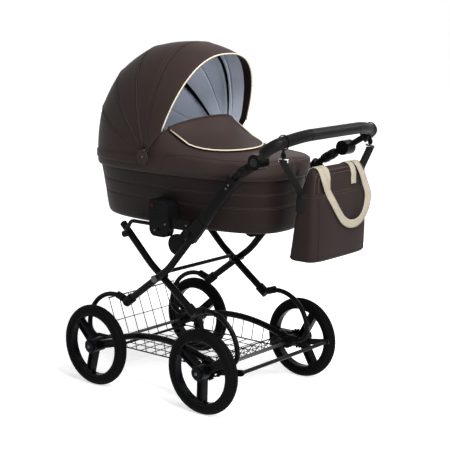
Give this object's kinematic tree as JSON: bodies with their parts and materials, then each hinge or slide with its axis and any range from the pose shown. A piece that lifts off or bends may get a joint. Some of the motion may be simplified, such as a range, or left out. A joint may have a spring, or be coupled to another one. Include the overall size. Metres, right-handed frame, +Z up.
{
  "type": "bassinet pram",
  "caption": "Pram with a hooded carrycot on an X-frame, C-spring chassis, wire basket, spoked wheels, tilting push handle and hung changing bag.",
  "frame": {"origin": "on the floor at the middle of the four tyre contacts", "axes": "+Z up, +X towards the push handle, +Y to the pusher's right as they face the hood"},
  "size_m": [1.0756, 0.6442, 1.2578],
  "materials": {
    "frame_black": "satin black paint",
    "wire_black": "satin black paint",
    "black_plastic": "fine grain",
    "charcoal_rim": "satin",
    "tyre_rubber": "matt",
    "steel": "plated",
    "button_grey": "satin",
    "button_red": "satin",
    "leatherette": "soft grain",
    "grip_leather": "fine grain",
    "mattress_cloth": "woven",
    "bow_dark": "covered",
    "bag_leather": "leatherette over a soft body",
    "webbing_cream": "woven",
    "webbing_dark": "woven"
  },
  "bodies": {
    "chassis": {"handle_tube_left": "frame_black", "handle_tube_right": "frame_black", "front_tube_left": "frame_black", "front_tube_right": "frame_black", "front_tube_caps": "black_plastic", "cross_bolts": "steel", "pivot_crossbar": "frame_black", "springs_front": "frame_black", "springs_rear": "frame_black", "spring_shoes": "black_plastic", "side_beam_left": "frame_black", "side_beam_right": "frame_black", "axle_blocks": "black_plastic", "axles": "steel", "basket_floor": "wire_black", "basket_side_walls": "wire_black", "basket_end_walls": "wire_black", "top_rails": "frame_black", "cot_adapters": "black_plastic", "hinge_brackets": "black_plastic", "handle_sleeves": "black_plastic", "handle_arms": "frame_black"},
    "wheel_front_left": {"tyre_front_left": "tyre_rubber", "rim_front_left": "charcoal_rim", "hub_front_left": "black_plastic"},
    "wheel_front_right": {"tyre_front_right": "tyre_rubber", "rim_front_right": "charcoal_rim", "hub_front_right": "black_plastic"},
    "wheel_rear_left": {"tyre_rear_left": "tyre_rubber", "rim_rear_left": "charcoal_rim", "hub_rear_left": "black_plastic"},
    "wheel_rear_right": {"tyre_rear_right": "tyre_rubber", "rim_rear_right": "charcoal_rim", "hub_rear_right": "black_plastic"},
    "brake": {"brake_bar": "frame_black"},
    "latch_left": {"fold_latch_left": "black_plastic"},
    "latch_right": {"fold_latch_right": "black_plastic"},
    "grip": {"grip_tube": "frame_black", "grip_cover": "grip_leather"},
    "height_left": {"height_button_left": "button_grey"},
    "height_right": {"height_button_right": "button_grey"},
    "carrycot": {"cot_shell": "leatherette", "cot_rim": "leatherette", "mattress": "mattress_cloth", "cot_brackets": "black_plastic", "hood_hinges": "black_plastic", "hood_rear": "leatherette", "apron": "leatherette", "apron_flap": "leatherette"},
    "release_left": {"release_button_left": "button_red"},
    "release_right": {"release_button_right": "button_red"},
    "hood_fold_middle": {"hood_middle": "leatherette"},
    "hood_fold_crown": {"hood_crown": "leatherette", "hood_bow_middle": "bow_dark"},
    "hood_fold_fore": {"hood_fore": "leatherette"},
    "hood_fold_visor": {"hood_visor": "leatherette", "hood_bow_front": "bow_dark"},
    "bag": {"bag_body": "bag_leather", "bag_handles": "webbing_cream", "bag_straps": "webbing_dark"}
  },
  "joints": [
    {"name": "roll_front_left", "type": "hinge", "parent": "chassis", "child": "wheel_front_left", "pos_m": [-0.26, -0.285, 0.15], "axis": [0, 1, 0], "continuous": true},
    {"name": "roll_front_right", "type": "hinge", "parent": "chassis", "child": "wheel_front_right", "pos_m": [-0.26, 0.285, 0.15], "axis": [0, 1, 0], "continuous": true},
    {"name": "roll_rear_left", "type": "hinge", "parent": "chassis", "child": "wheel_rear_left", "pos_m": [0.26, -0.285, 0.15], "axis": [0, 1, 0], "continuous": true},
    {"name": "roll_rear_right", "type": "hinge", "parent": "chassis", "child": "wheel_rear_right", "pos_m": [0.26, 0.285, 0.15], "axis": [0, 1, 0], "continuous": true},
    {"name": "brake_press", "type": "hinge", "parent": "chassis", "child": "brake", "pos_m": [0.31, 0, 0.15], "axis": [0, 1, 0], "range_deg": [0, 15]},
    {"name": "latch_pull_left", "type": "hinge", "parent": "chassis", "child": "latch_left", "pos_m": [0.15, -0.209, 0.639], "axis": [0, 1, 0], "range_deg": [0, 20], "stiffness_Nm_per_rad": 1.2, "springref_deg": -11.46},
    {"name": "latch_pull_right", "type": "hinge", "parent": "chassis", "child": "latch_right", "pos_m": [0.15, 0.209, 0.639], "axis": [0, 1, 0], "range_deg": [0, 20], "stiffness_Nm_per_rad": 1.2, "springref_deg": -11.46},
    {"name": "handle_tilt", "type": "hinge", "parent": "chassis", "child": "grip", "pos_m": [0.46953, 0, 0.88838], "axis": [0, 1, 0], "range_deg": [-45, 10]},
    {"name": "height_press_left", "type": "slide", "parent": "grip", "child": "height_left", "axis": [0, 1, 0], "range_m": [0, 0.004], "stiffness_N_per_m": 1200, "springref_m": -0.002},
    {"name": "height_press_right", "type": "slide", "parent": "grip", "child": "height_right", "axis": [0, -1, 0], "range_m": [0, 0.004], "stiffness_N_per_m": 1200, "springref_m": -0.002},
    {"name": "cot_lift", "type": "slide", "parent": "chassis", "child": "carrycot", "axis": [0, 0, 1], "range_m": [0, 0.45]},
    {"name": "release_press_left", "type": "slide", "parent": "carrycot", "child": "release_left", "axis": [0, 1, 0], "range_m": [0, 0.003], "stiffness_N_per_m": 1200, "springref_m": -0.002},
    {"name": "release_press_right", "type": "slide", "parent": "carrycot", "child": "release_right", "axis": [0, -1, 0], "range_m": [0, 0.003], "stiffness_N_per_m": 1200, "springref_m": -0.002},
    {"name": "hood_fold", "type": "hinge", "parent": "carrycot", "child": "hood_fold_middle", "pos_m": [-0.052, 0, 0.86], "axis": [0, -1, 0], "range_deg": [0, 24]},
    {"name": "hood_fold_2", "type": "hinge", "parent": "hood_fold_middle", "child": "hood_fold_crown", "pos_m": [-0.052, 0, 0.86], "axis": [0, -1, 0], "range_deg": [0, 24]},
    {"name": "hood_fold_3", "type": "hinge", "parent": "hood_fold_crown", "child": "hood_fold_fore", "pos_m": [-0.052, 0, 0.86], "axis": [0, -1, 0], "range_deg": [0, 24]},
    {"name": "hood_fold_4", "type": "hinge", "parent": "hood_fold_fore", "child": "hood_fold_visor", "pos_m": [-0.052, 0, 0.86], "axis": [0, -1, 0], "range_deg": [0, 24]},
    {"name": "bag_swing", "type": "hinge", "parent": "grip", "child": "bag", "pos_m": [0.571, 0, 0.95942], "axis": [0, 1, 0], "range_deg": [-30, 5]}
  ],
  "couplings": [
    {"joint": "hood_fold_2", "follows": "hood_fold", "ratio": 1},
    {"joint": "hood_fold_3", "follows": "hood_fold", "ratio": 1},
    {"joint": "hood_fold_4", "follows": "hood_fold", "ratio": 1}
  ]
}
